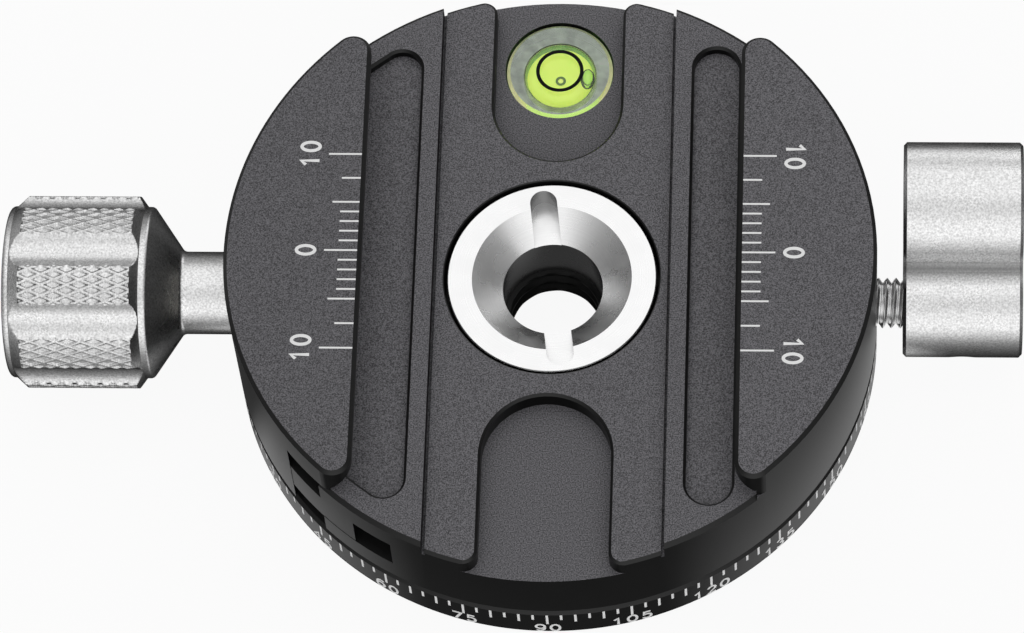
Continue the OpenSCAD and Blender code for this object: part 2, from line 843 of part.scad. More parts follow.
module knob_grub_screw() {
    color(steel)
        translate([-grub_x, 0, screw_z - screw_d / 2 - seat_gap])
            rotate([180, 0, 0])
                grub_screw(grub_d, knob_grub_l);
}

module brake_plug() {
    color([0.80, 0.66, 0.32])
        x_turned([
            [0, 0],
            [0, nose_d / 2],
            [nose_l, nose_d / 2],
            [nose_l, stud_d / 2 - run_gap],
            [nose_l + plug_l, stud_d / 2 - run_gap],
            [nose_l + plug_l, 0]
        ], nose_tip, stud_z);
}

module lock_stud() {
    color(steel)
        x_rod(stud_d / 2, stud_start, stud_end, stud_z);
}

// A rod along Z whose two ends widen by c, or narrow where c is below zero
module ended_rod(r, h, c) {
    rotate_extrude()
        polygon([[0, 0], [r + c, 0], [r, abs(c)], [r, h - abs(c)], [r + c, h], [0, h]]);
}

// The lever's form along Z: a hub, a tip along +X and the hollows between them
module lever_form() {
    // How far the hollows run into the hub and the tip
    bite = 0.03;
    hub_reach = lever_hub_r + lever_blend_r - bite;
    tip_reach = lever_tip_r + lever_blend_r - bite;
    blend_x = (lever_arm * lever_arm + hub_reach * hub_reach - tip_reach * tip_reach)
        / (2 * lever_arm);
    blend_y = sqrt(hub_reach * hub_reach - blend_x * blend_x);
    ended_rod(lever_hub_r, lever_w, -lever_chamfer);
    translate([lever_arm, 0, 0])
        ended_rod(lever_tip_r, lever_w, -lever_chamfer);
    difference() {
        linear_extrude(lever_w)
            polygon([[0, 0], [blend_x, -blend_y], [lever_arm, 0], [blend_x, blend_y]]);
        for (side = [-1, 1])
            translate([blend_x, side * blend_y, 0])
                ended_rod(lever_blend_r, lever_w, lever_chamfer);
    }
}

module lock_lever() {
    color(silver)
        difference() {
            translate([lever_x, 0, stud_z])
                rotate([lever_angle, 0, 0])
                    rotate([90, 0, 90])
                        lever_form();
            x_rod(stud_d / 2 + seat_gap, lever_x - past, stud_end + seat_gap, stud_z);
            translate([lever_x + lever_w / 2, 0, stud_z])
                rotate([lever_angle + 90, 0, 0])
                    cylinder(d = grub_d + 2 * seat_gap, h = lever_hub_r + past);
        }
}

module lever_grub_screw() {
    color(steel)
        translate([lever_x + lever_w / 2, 0, stud_z])
            rotate([lever_angle + 90, 0, 0])
                translate([0, 0, stud_d / 2 + seat_gap])
                    grub_screw(grub_d, lever_grub_l);
}

base_plate();
lower_bearing_ring();
hub_nut();
upper_bearing_ring();
clamp_body();
jaw_stop_screw();
level_vial();
level_fluid();
level_bubble();
level_mark_ring();
level_backing();
moving_jaw();
thrust_washer();
return_spring();
clamp_screw();
clamp_knob();
knob_grub_screw();
brake_plug();
lock_stud();
lock_lever();
lever_grub_screw();
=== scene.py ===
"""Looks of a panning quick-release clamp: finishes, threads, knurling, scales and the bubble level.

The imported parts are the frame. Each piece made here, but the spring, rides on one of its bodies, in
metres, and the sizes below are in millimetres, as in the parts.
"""

import math

import bmesh
import bpy
import numpy as np
from mathutils import Matrix, Vector


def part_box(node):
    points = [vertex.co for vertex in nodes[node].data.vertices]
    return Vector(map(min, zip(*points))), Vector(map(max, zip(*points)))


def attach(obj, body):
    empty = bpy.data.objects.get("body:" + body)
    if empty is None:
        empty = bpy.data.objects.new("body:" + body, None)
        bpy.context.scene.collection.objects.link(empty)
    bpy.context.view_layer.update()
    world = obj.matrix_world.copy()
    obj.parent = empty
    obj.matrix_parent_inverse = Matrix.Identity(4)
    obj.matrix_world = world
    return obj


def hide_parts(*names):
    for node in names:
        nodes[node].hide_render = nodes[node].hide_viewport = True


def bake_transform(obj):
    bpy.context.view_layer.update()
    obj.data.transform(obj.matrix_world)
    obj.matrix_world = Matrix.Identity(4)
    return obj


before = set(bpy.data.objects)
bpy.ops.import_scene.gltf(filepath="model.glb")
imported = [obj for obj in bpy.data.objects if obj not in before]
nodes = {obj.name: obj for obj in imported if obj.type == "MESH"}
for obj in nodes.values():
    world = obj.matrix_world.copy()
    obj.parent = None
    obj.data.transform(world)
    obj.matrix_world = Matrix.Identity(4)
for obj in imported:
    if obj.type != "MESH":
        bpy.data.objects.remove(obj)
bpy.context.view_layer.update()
MM = 0.001

# Heights and places of the parts
HEAD_R = 30.0
BASE_H = 4.8
JAW_TOP = 19.0
SCREW_Z = 10.1
STUD_Z = 8.9
LEVEL_Y = 22.8

# The camera, fitted to the round outline and the jaw scales
IMAGE_W = 1024
SENSOR_W = 36.0
FOCAL_PX = 5985.28
CAMERA_FAR = 0.548233
CAMERA_TARGET = Vector((0, 0, JAW_TOP * MM))
CAMERA_AZIMUTH = math.radians(6.785)
CAMERA_ELEVATION = math.radians(62.605)
CAMERA_ROLL = math.radians(-5.698)
TARGET_RIGHT_PX = 37.163
TARGET_UP_PX = 65.255


# Mesh tools

MERGE_DISTANCE = 1e-7
THREAD_FLAT = 0.12


def make_piece(name, points_mm, faces, material, body, replaces=(), sharp=30):
    """A mesh piece of points in millimetres that rides on a body, if one is named."""
    mesh = bpy.data.meshes.new(name)
    mesh.from_pydata([tuple(MM * c for c in p) for p in points_mm], [], faces)
    work = bmesh.new()
    work.from_mesh(mesh)
    bmesh.ops.remove_doubles(work, verts=work.verts, dist=MERGE_DISTANCE)
    bmesh.ops.recalc_face_normals(work, faces=work.faces)
    work.to_mesh(mesh)
    work.free()
    mesh.shade_smooth()
    mesh.set_sharp_from_angle(angle=math.radians(sharp))
    mesh.materials.append(material)
    piece = bpy.data.objects.new(name, mesh)
    bpy.context.scene.collection.objects.link(piece)
    if body:
        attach(piece, body)
    if replaces:
        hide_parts(*replaces)
    return piece


def turned(profile, angles, place, closed=True):
    """Points and faces of a turned form. A profile point is (along, radius), where the radius may be
    a function of the distance along the axis and the angles; place turns (along, x, y) into a point."""
    rings = []
    for along, radius in profile:
        reach = radius(along, angles) if callable(radius) else np.full(len(angles), float(radius))
        rings.append([place(along, r * math.cos(a), r * math.sin(a)) for r, a in zip(reach, angles)])
    count = len(angles)
    points = [p for ring in rings for p in ring]
    faces = []
    last = len(rings) if closed else len(rings) - 1
    for i in range(last):
        lower = i * count
        upper = (i + 1) % len(rings) * count
        for k in range(count):
            after = (k + 1) % count
            faces.append((lower + k, lower + after, upper + after, upper + k))
    return points, faces


def even_angles(count):
    return np.arange(count) * 2 * math.pi / count


def on_z(x0, y0):
    """A place for turned forms that stand on the Z axis at (x0, y0)."""
    return lambda along, x, y: (x0 + x, y0 + y, along)


def on_x(z0):
    """A place for turned forms that lie along X at height z0."""
    return lambda along, x, y: (along, y, z0 + x)


def spread(start, end, step):
    """Distances from start to end, about step apart."""
    return list(np.linspace(start, end, max(2, round(abs(end - start) / step) + 1)))


def fillet(corner, start, end, radius, count=5):
    """Points of a rounded corner between the directions to start and to end."""
    c = np.array(corner, float)
    a = np.array(start, float) - c
    b = np.array(end, float) - c
    a /= np.linalg.norm(a)
    b /= np.linalg.norm(b)
    half = math.acos(np.clip(a @ b, -1, 1)) / 2
    middle = (a + b) / np.linalg.norm(a + b)
    centre = c + middle * radius / math.sin(half)
    first = c + a * radius / math.tan(half) - centre
    final = c + b * radius / math.tan(half) - centre
    turn = math.pi - 2 * half
    return [
        tuple(centre + (first * math.sin(turn * (1 - t)) + final * math.sin(turn * t)) / math.sin(turn))
        for t in np.linspace(0, 1, count)
    ]


def thread(pitch, root, crest):
    """The radius of a screw thread as a function of the distance along it and the angles."""
    def radius(along, angles):
        share = (along / pitch - angles / (2 * math.pi)) % 1
        height = 1 - np.abs(2 * share - 1)
        return root + (crest - root) * np.clip((height - THREAD_FLAT) / (1 - 2 * THREAD_FLAT), 0, 1)

    return radius


# Material tools

# Noise mostly lies between these values
CLOUD = (0.3, 0.7)

# Black anodising: sandblasted on level faces from these heights up; lower level faces, walls and chamfers
# get near-black painted shade
BODY_UNSHADED_FROM = 11.0
BODY_TONE = 1.1
JAW_UNSHADED_FROM = 18.0
JAW_TONE = 1.0
BLAST_COLOURS = ((0.030, 0.0293, 0.032), (0.180, 0.176, 0.190))
BLAST_GRAIN = 0.12
BLAST_BUMP = (0.03, 0.8)
# Near-black of the painted shade on walls, chamfers and low level faces
SHADE_BLACK_GREYS = (0.0075, 0.0105)
BLACK_ROUGH = (0.38, 0.55)
UNDERSIDE = 0.6
# Painted sheen, set by which way a face looks: on chamfers, and on walls that face left and right
CHAMFER_PAINTED_SHEEN = 0.35
SIDE_WALL_PAINTED_SHEEN = (0.005, 0.3)
PAINTED_SHEEN_FACING = (0.35, 1.0)

# Silver anodising with painted shade in its creases, and the lever's painted shade along the crease between
# its hub and its arm
SILVER_GRAIN = 0.19
SILVER_GREYS = (0.60, 0.98)
SILVER_ROUGH = (0.26, 0.32)
SILVER_BUMP = (0.03, 0.5)
CREASE_SHADE_DISTANCE = 2.0
CREASE_SHADE_OPEN = (0.40, 0.85)
LEVER_ANGLE = math.radians(35)
LEVER_CREASE = (3.75, 3.5)
CREASE_SHADE_REACH = (0.9, 2.6)
CREASE_SHADE_DEPTH = 0.8
CREASE_SHADE_GREY = 0.25
CREASE_ROUGH = 0.7

# Turned metal: tool lines in a metre, their bump, and how bright a bore's wall is painted, as painted shade
TOOL_LINES = 12000
TOOL_BUMP = (0.006, 0.35)
ROUGH_SWING = 0.04
BORE_SHADE_SHARE = 0.3

# The vial's edge, with its painted glow
EDGE_PAINTED_GLOW_FADE = 4.0
EDGE_PAINTED_GLOW = 0.40


def shader(name, sockets):
    """A material with these constants on its surface shader."""
    material = bpy.data.materials.new(name)
    material.use_nodes = True
    surface = material.node_tree.nodes["Principled BSDF"]
    for socket, value in sockets.items():
        surface.inputs[socket].default_value = value
    return material, surface


def add(material, kind, inputs=None, **settings):
    """A node of this kind, with its settings and its inputs' values or links."""
    tree = material.node_tree
    made = tree.nodes.new(kind)
    for key, value in settings.items():
        setattr(made, key, value)
    for socket, value in (inputs or {}).items():
        if isinstance(value, bpy.types.NodeSocket):
            tree.links.new(value, made.inputs[socket])
        else:
            made.inputs[socket].default_value = value
    return made


def join(material, output, socket):
    material.node_tree.links.new(output, socket)


def object_point(material):
    return add(material, "ShaderNodeTexCoord").outputs["Object"]


def noise(material, size_mm, detail=2.0):
    """Noise whose grains are about this size."""
    return add(
        material,
        "ShaderNodeTexNoise",
        {"Vector": object_point(material), "Scale": 1000 / size_mm, "Detail": detail},
    ).outputs["Fac"]


def ranged(material, value, low, high, to_low, to_high, curve="LINEAR"):
    """A value moved from one range to another, held at the ends."""
    return add(
        material,
        "ShaderNodeMapRange",
        {"Value": value, "From Min": low, "From Max": high, "To Min": to_low, "To Max": to_high},
        interpolation_type=curve,
    ).outputs["Result"]


def clouds(material, size_mm, to_low=0, to_high=1):
    """Soft clouds of about this size, between two values."""
    return ranged(material, noise(material, size_mm), *CLOUD, to_low, to_high)


def math_node(material, operation, first, second):
    return add(material, "ShaderNodeMath", {0: first, 1: second}, operation=operation).outputs[0]


def mixed_colour(material, share, first, second):
    made = add(material, "ShaderNodeMix", {"Factor": share}, data_type="RGBA")
    for socket, value in ((made.inputs[6], first), (made.inputs[7], second)):
        if isinstance(value, bpy.types.NodeSocket):
            join(material, value, socket)
        else:
            socket.default_value = value
    return made.outputs[2]


def grey(level):
    return (level, level, level, 1)


def bumped(material, surface, height, depth_mm, strength=1.0):
    """Height as a bump of this depth on the surface."""
    made = add(
        material,
        "ShaderNodeBump",
        {"Height": height, "Distance": depth_mm * MM, "Strength": strength},
    )
    join(material, made.outputs["Normal"], surface.inputs["Normal"])


def black_anodised(name, unshaded_from, tone):
    """Sandblasted charcoal of this tone on level faces above this height and on the underside. The
    rest is smooth and near-black as painted shade, with painted sheen on chamfers and on walls that face
    left and right."""
    material, surface = shader(name, {})
    shape = add(material, "ShaderNodeNewGeometry")
    normal = add(material, "ShaderNodeSeparateXYZ", {0: shape.outputs["True Normal"]})
    lean = math_node(material, "ABSOLUTE", normal.outputs["Z"], 0)
    flat = ranged(material, lean, 0.90, 0.97, 0, 1)
    height = add(material, "ShaderNodeSeparateXYZ", {0: object_point(material)}).outputs["Z"]
    above = math_node(material, "GREATER_THAN", height, unshaded_from * MM)
    below = math_node(material, "LESS_THAN", height, UNDERSIDE * MM)
    # Only level faces from the given height up, and the underside, keep the sandblasted charcoal; the rest
    # gets painted shade
    blasted_unshaded = math_node(material, "MULTIPLY", flat, math_node(material, "MAXIMUM", above, below))
    speck = noise(material, BLAST_GRAIN, 3)
    shade_black = mixed_colour(material, noise(material, 6.0), *(grey(level) for level in SHADE_BLACK_GREYS))
    grain = ranged(material, speck, 0.34, 0.66, 0, 1)
    low, high = (tuple(tone * c for c in colour) + (1,) for colour in BLAST_COLOURS)
    top = mixed_colour(material, grain, low, high)
    join(material, mixed_colour(material, blasted_unshaded, shade_black, top), surface.inputs["Base Color"])
    join(material, ranged(material, blasted_unshaded, 0, 1, *BLACK_ROUGH), surface.inputs["Roughness"])
    smooth = add(material, "ShaderNodeSeparateXYZ", {0: shape.outputs["Normal"]}).outputs["X"]
    sideways = math_node(material, "ABSOLUTE", smooth, 0)
    # Painted sheen on chamfers and on walls that face left and right, by their direction
    shine = math_node(
        material,
        "MAXIMUM",
        ranged(material, lean, 0.3, 0.6, 0, CHAMFER_PAINTED_SHEEN),
        ranged(material, sideways, *PAINTED_SHEEN_FACING, *SIDE_WALL_PAINTED_SHEEN, "SMOOTHSTEP"),
    )
    join(material, shine, surface.inputs["Specular IOR Level"])
    bumped(material, surface, math_node(material, "MULTIPLY", speck, blasted_unshaded), *BLAST_BUMP)
    return material


def lever_crease(material):
    """The distance from the creases between the lever's hub and its arm, which places the lever's painted
    shade.
    """
    point = add(
        material,
        "ShaderNodeVectorRotate",
        {"Vector": object_point(material), "Center": (0, 0, STUD_Z * MM), "Angle": -LEVER_ANGLE},
        rotation_type="X_AXIS",
    ).outputs[0]
    parts = add(material, "ShaderNodeSeparateXYZ", {0: point})
    off = math_node(material, "SUBTRACT", parts.outputs["Z"], STUD_Z * MM)
    flat = add(
        material,
        "ShaderNodeCombineXYZ",
        {"Y": parts.outputs["Y"], "Z": math_node(material, "ABSOLUTE", off, 0)},
    )
    along, aside = LEVER_CREASE
    return add(
        material,
        "ShaderNodeVectorMath",
        {0: flat.outputs[0], 1: (0, along * MM, aside * MM)},
        operation="DISTANCE",
    ).outputs["Value"]


def silver_anodised(name, crease=None):
    """Bead-blasted satin aluminium with painted shade in its creases, and darker where it is seen edge on.
    """
    material, surface = shader(name, {"Metallic": 1.0, "Specular Tint": grey(0.0)})
    speck = noise(material, SILVER_GRAIN, 3)
    low, high = (grey(level) for level in SILVER_GREYS)
    grain = mixed_colour(material, ranged(material, speck, 0.32, 0.68, 0, 1), low, high)
    rough = clouds(material, 3.0, *SILVER_ROUGH)
    # Painted shade: grey mixed into the colour near the lever's crease, or in creases that ambient occlusion
    # finds
    if crease:
        far = crease(material)
        near, wide = (reach * MM for reach in CREASE_SHADE_REACH)
        painted_shade = ranged(material, far, 0, near, CREASE_SHADE_DEPTH, 0)
        rough = math_node(material, "MAXIMUM", rough, ranged(material, far, near, wide, CREASE_ROUGH, 0))
    else:
        open_sky = add(
            material, "ShaderNodeAmbientOcclusion", {"Distance": CREASE_SHADE_DISTANCE * MM}, samples=16, only_local=True
        ).outputs["AO"]
        painted_shade = ranged(material, open_sky, *CREASE_SHADE_OPEN, 1, 0)
    colour = mixed_colour(material, painted_shade, grain, grey(CREASE_SHADE_GREY))
    join(material, colour, surface.inputs["Base Color"])
    join(material, rough, surface.inputs["Roughness"])
    bumped(material, surface, speck, *SILVER_BUMP)
    return material


def turned_metal(name, low, high, rough, along_x=False):
    """Bare metal with fine tool lines, round the Z axis or round X; round Z its upright walls and bores get
    painted shade.
    """
    material, surface = shader(name, {"Metallic": 1.0})
    parts = add(material, "ShaderNodeSeparateXYZ", {0: object_point(material)})
    if along_x:
        distance = parts.outputs["X"]
    else:
        flat = add(material, "ShaderNodeCombineXYZ", {"X": parts.outputs["X"], "Y": parts.outputs["Y"]})
        distance = add(material, "ShaderNodeVectorMath", {0: flat.outputs[0]}, operation="LENGTH")
        distance = distance.outputs["Value"]
    lines = add(
        material,
        "ShaderNodeTexNoise",
        {"W": math_node(material, "MULTIPLY", distance, TOOL_LINES), "Scale": 1.0, "Detail": 2.0},
        noise_dimensions="1D",
    ).outputs["Fac"]
    colour = mixed_colour(material, ranged(material, lines, *CLOUD, 0, 1), low, high)
    if not along_x:
        # Painted shade: upright faces, as in the bores, are painted dimmer
        normal = add(material, "ShaderNodeNewGeometry").outputs["True Normal"]
        lean = add(material, "ShaderNodeSeparateXYZ", {0: normal}).outputs["Z"]
        wall = ranged(material, math_node(material, "ABSOLUTE", lean, 0), 0.1, 0.4, 1, 0)
        colour = mixed_colour(material, wall, colour, tuple(BORE_SHADE_SHARE * c for c in low[:3]) + (1,))
    join(material, colour, surface.inputs["Base Color"])
    uneven = clouds(material, 2.0, rough - ROUGH_SWING, rough + ROUGH_SWING)
    join(material, uneven, surface.inputs["Roughness"])
    bumped(material, surface, lines, *TOOL_BUMP)
    return material


def moulded(name, low, high, rough, glow=0.0, shine=0.5, mottle_mm=0.5):
    """Plain moulded or painted stuff with a faint mottle, and some glow as painted light where one is given.
    """
    material, surface = shader(
        name,
        {
            "Roughness": rough,
            "Specular IOR Level": shine,
            "Emission Color": high,
            "Emission Strength": glow,
        },
    )
    mottle = mixed_colour(material, clouds(material, mottle_mm), low, high)
    join(material, mottle, surface.inputs["Base Color"])
    bumped(material, surface, noise(material, 0.2), 0.01, 0.2)
    return material


def clear(name, low, high, ior):
    """A clear stuff with a slight cloud in its tint."""
    material, surface = shader(
        name,
        {"Roughness": 0.02, "IOR": ior, "Transmission Weight": 1.0, "Specular IOR Level": 0.12},
    )
    mottle = mixed_colour(material, clouds(material, 2.0), low, high)
    join(material, mottle, surface.inputs["Base Color"])
    return material


def glowing_edge():
    """The clear edge of the vial, with a painted glow in the liquid's colour, most at its front, as a
    painted reflection of the liquid.
    """
    tint = (0.95, 0.86, 0.42, 1)
    material, surface = shader(
        "vial_edge",
        {"Roughness": 0.02, "IOR": 1.49, "Transmission Weight": 1.0, "Emission Color": tint},
    )
    mottle = mixed_colour(material, clouds(material, 2.0), (0.80, 0.90, 0.40, 1), tint)
    join(material, mottle, surface.inputs["Base Color"])
    # Painted light: emission that fades from the front of the vial to its back
    along = add(material, "ShaderNodeSeparateXYZ", {0: object_point(material)}).outputs["Y"]
    front, back = ((LEVEL_Y + way * EDGE_PAINTED_GLOW_FADE) * MM for way in (-1, 1))
    join(material, ranged(material, along, front, back, EDGE_PAINTED_GLOW, 0), surface.inputs["Emission Strength"])
    return material


BLACK = black_anodised("black_anodised", BODY_UNSHADED_FROM, BODY_TONE)
JAW_BLACK = black_anodised("jaw_black_anodised", JAW_UNSHADED_FROM, JAW_TONE)
SILVER = silver_anodised("silver_anodised")
# The lever's copy of the silver, with painted shade along its crease
LEVER_SILVER_SHADED = silver_anodised("lever_silver_crease_shaded", lever_crease)
STEEL = turned_metal("turned_steel", grey(0.90), grey(0.96), 0.28)
ROD_STEEL = turned_metal("rod_steel", grey(0.78), grey(0.88), 0.2, along_x=True)
WIRE = turned_metal("spring_wire", grey(0.52), grey(0.62), 0.3, along_x=True)
BRASS = turned_metal("brake_brass", (0.70, 0.50, 0.18, 1), (0.80, 0.60, 0.24, 1), 0.3, along_x=True)
POLYMER = moulded("bearing_polymer", (0.80, 0.77, 0.69, 1), (0.86, 0.83, 0.75, 1), 0.4)
MARK_WHITE = moulded("mark_white", grey(0.90), grey(0.96), 0.5)
TARGET_BLACK = moulded("target_black", grey(0.004), grey(0.008), 0.7, shine=0.1)
# The backing's glow is painted light
BACKING = moulded("backing_yellow", (0.88, 0.94, 0.28, 1), (0.94, 0.98, 0.34, 1), 0.5, 0.64)
# A green ring round the nub, as painted shade
NUB_SHADE_GREEN = moulded("nub_shade_green", (0.22, 0.44, 0.08, 1), (0.28, 0.50, 0.11, 1), 0.5)
# The frost's faint glow is painted light
FROST = moulded("vial_frost", (0.22, 0.25, 0.23, 1), (0.94, 1.0, 0.94, 1), 0.6, 0.15, mottle_mm=1.6)
# A strong green tint on the cell's wall, as painted shade
VIAL_WALL_SHADE = clear("vial_wall_shade", (0.07, 0.50, 0.16, 1), (0.11, 0.58, 0.22, 1), 1.49)
VIAL_EDGE = glowing_edge()
ACRYLIC = clear("clear_acrylic", (0.96, 0.99, 0.97, 1), (0.98, 1, 0.98, 1), 1.49)
LIQUID = clear("level_liquid", (0.76, 0.94, 0.38, 1), (0.84, 0.96, 0.46, 1), 1.33)
AIR = clear("level_air", (0.62, 0.90, 0.70, 1), (0.70, 0.95, 0.78, 1), 1.75)

NODE_LOOKS = {
    "base_plate": BLACK,
    "clamp_body": BLACK,
    "moving_jaw": JAW_BLACK,
    "hub_nut": STEEL,
    "lower_bearing_ring": POLYMER,
    "upper_bearing_ring": POLYMER,
    "thrust_washer": POLYMER,
    "jaw_stop_screw": STEEL,
    "knob_grub_screw": STEEL,
    "lever_grub_screw": STEEL,
    "return_spring": WIRE,
    "brake_plug": BRASS,
    "clamp_screw": ROD_STEEL,
    "clamp_knob": SILVER,
    "lock_stud": ROD_STEEL,
    "lock_lever": LEVER_SILVER_SHADED,
    "level_mark_ring": TARGET_BLACK,
    "level_bubble": AIR,
    "level_fluid": LIQUID,
    "level_vial": ACRYLIC,
    "level_backing": BACKING,
}
for node_name, look in NODE_LOOKS.items():
    for material_slot in nodes[node_name].material_slots:
        material_slot.material = look


# The base: turned plate with its tripod thread

BAND_SINK = 0.02
BASE_CHAMFER = 0.9
EDGE_CHAMFER = 0.35
RING_GROOVE = (17.97, 25.03, 0.7)
HUB_R = 7.95
HUB_TOP = 10.5
SHANK_HOLE = (6.03, 6.27)
THREAD_PITCH = 25.4 / 16
THREAD_ROOT = 4.76
THREAD_CREST = 4.2
RELIEF = (6.2, 2.2)
UNDER_RING = (9.0, 22.0, 0.4)


def base_piece():
    bore = thread(THREAD_PITCH, THREAD_ROOT, THREAD_CREST)
    rim = HEAD_R - BAND_SINK
    ring_in, ring_out, ring_depth = RING_GROOVE
    under_in, under_out, under_depth = UNDER_RING
    profile = [
        (0, RELIEF[0]), (0, under_in), (under_depth, under_in), (under_depth, under_out), (0, under_out),
        (0, HEAD_R - BASE_CHAMFER), (BASE_CHAMFER, HEAD_R), (BASE_CHAMFER, rim),
        (BASE_H - EDGE_CHAMFER, rim), (BASE_H - EDGE_CHAMFER, HEAD_R), (BASE_H, HEAD_R - EDGE_CHAMFER),
        (BASE_H, ring_out), (BASE_H - ring_depth, ring_out),
        (BASE_H - ring_depth, ring_in), (BASE_H, ring_in),
        (BASE_H, HUB_R), (HUB_TOP, HUB_R), (HUB_TOP, SHANK_HOLE[0]), (SHANK_HOLE[1], SHANK_HOLE[0]),
        (SHANK_HOLE[1], THREAD_ROOT),
    ]
    profile += [(z, bore) for z in spread(SHANK_HOLE[1], RELIEF[1], THREAD_PITCH / 12)]
    profile += [(RELIEF[1], THREAD_ROOT), (RELIEF[1], RELIEF[0])]
    points, faces = turned(profile, even_angles(240), on_z(0, 0))
    make_piece("base_turned", points, faces, BLACK, "base", ["base_plate"])


# Scales: ticks and numbers as thin raised paint

TICK_W = 0.18
BAND_TICK_W = 0.23
BAND_TOP = 4.4
BAND_TICKS = {15: 2.5, 5: 2.9, 2.5: 3.4}
BAND_STEP = 2.5
NUMBER_STEP = 15
BAND_NUMBER = (1.55, 1.08, 1.66)
BAND_STROKE = 0.25
PAINT = 0.03
PAINT_PROUD = 0.012
LIP_X = 17.65
JAW_TICKS = [0, 1, 2, 3, 4, 5, 7.5, 10]
JAW_TICK_LONG = {0: 3.05, 10: 3.05, 5: 2.5}
JAW_TICK_SHORT = 1.75
JAW_NUMBER = (2.0, 1.2, 22.4)
JAW_STROKE = 0.31
DIGIT_PITCH = 1.28
MITRE_LIMIT = 0.5


def box_faces(first):
    """The faces of a box of eight points, the lower four and then the upper four."""
    corners = [(0, 3, 2, 1), (4, 5, 6, 7), (0, 1, 5, 4), (1, 2, 6, 5), (2, 3, 7, 6), (3, 0, 4, 7)]
    return [tuple(first + c for c in face) for face in corners]


def arc(x, y, rx, ry, start, end, count=13):
    """Points of an elliptic arc between two angles in degrees."""
    turns = np.radians(np.linspace(start, end, count))
    return [(x + rx * math.cos(a), y + ry * math.sin(a)) for a in turns]


SIX = [arc(0.56, 0.5, 0.54, 0.5, 50, 180), arc(0.5, 0.32, 0.48, 0.32, 180, 540, 25)]
STROKES = {
    "0": [arc(0.5, 0.5, 0.5, 0.5, 90, 450, 29)],
    "1": [[(0.1, 0.74), (0.56, 1), (0.56, 0)]],
    "2": [arc(0.5, 0.7, 0.46, 0.3, 165, -35) + [(0, 0), (1, 0)]],
    "3": [arc(0.48, 0.76, 0.42, 0.24, 150, -90), arc(0.48, 0.26, 0.5, 0.26, 90, -150)],
    "4": [[(0.72, 0), (0.72, 1), (0, 0.28), (1, 0.28)]],
    "5": [[(0.9, 1), (0.18, 1), (0.1, 0.55)] + arc(0.47, 0.33, 0.5, 0.33, 130, -150)],
    "6": SIX,
    "7": [[(0, 1), (1, 1), (0.36, 0)]],
    "8": [arc(0.5, 0.76, 0.38, 0.24, 0, 360, 25), arc(0.5, 0.27, 0.47, 0.27, 0, 360, 25)],
    "9": [[(1 - x, 1 - y) for x, y in stroke] for stroke in SIX],
}


def ribbon(path, half):
    """Points (across, up, out) and faces of a stroke of this half width along a path."""
    path = np.array(path, float)
    loop = np.allclose(path[0], path[-1])
    step = np.diff(path, axis=0)
    step /= np.linalg.norm(step, axis=1)[:, None]
    before = np.vstack([step[-1:] if loop else step[:1], step])
    after = np.vstack([step, step[:1] if loop else step[-1:]])
    lean = (before + after) / np.maximum(1 + (before * after).sum(1), MITRE_LIMIT)[:, None]
    side = half * np.stack([-lean[:, 1], lean[:, 0]], axis=1)
    points = []
    for middle, off in zip(path, side):
        for edge, out in ((off, 0), (-off, 0), (-off, 1), (off, 1)):
            points.append((middle[0] + edge[0], middle[1] + edge[1], out))
    faces = []
    for i in range(len(path) - 1):
        for k in range(4):
            after_k = (k + 1) % 4
            faces.append((4 * i + k, 4 * i + after_k, 4 * i + 4 + after_k, 4 * i + 4 + k))
    if not loop:
        last = 4 * (len(path) - 1)
        faces += [(3, 2, 1, 0), (last, last + 1, last + 2, last + 3)]
    return points, faces


def flat_number(number, height, digit_w, stroke):
    """Points (across, up, out) and faces of a number of this height, centred on its middle."""
    digits = str(number)
    pitch = digit_w * DIGIT_PITCH
    start = -(pitch * (len(digits) - 1) + digit_w) / 2
    parts = []
    for i, digit in enumerate(digits):
        for path in STROKES[digit]:
            placed = [
                (start + pitch * i + stroke / 2 + x * (digit_w - stroke), (y - 0.5) * (height - stroke))
                for x, y in path
            ]
            parts.append(ribbon(placed, stroke / 2))
    return gather(parts)


def gather(parts):
    """One list of points and one of faces from several (points, faces)."""
    points, faces = [], []
    for some_points, some_faces in parts:
        first = len(points)
        points += [tuple(p) for p in some_points]
        faces += [tuple(first + i for i in face) for face in some_faces]
    return points, faces


def on_band(angle_deg, across, z, out):
    """A point on the degree band: across is along the rim, out is from 0, sunk, to 1, flush."""
    angle = math.radians(angle_deg) + across / HEAD_R
    r = HEAD_R - PAINT * (1 - out)
    return (r * math.cos(angle), r * math.sin(angle), z)


def band_marks():
    parts = []
    for i in range(round(360 / BAND_STEP)):
        angle = i * BAND_STEP
        low = next(end for step, end in BAND_TICKS.items() if angle % step == 0)
        half = BAND_TICK_W / 2
        corners = [(-half, low), (half, low), (half, BAND_TOP), (-half, BAND_TOP)]
        points = [on_band(angle, a, z, out) for out in (0, 1) for a, z in corners]
        parts.append((points, box_faces(0)))
    height, digit_w, middle = BAND_NUMBER
    for angle in range(0, 360, NUMBER_STEP):
        points, faces = flat_number((angle + 180) % 360, height, digit_w, BAND_STROKE)
        parts.append(([on_band(angle, p[0], middle + p[1], p[2]) for p in points], faces))
    points, faces = gather(parts)
    make_piece("degree_marks", points, faces, MARK_WHITE, "base")


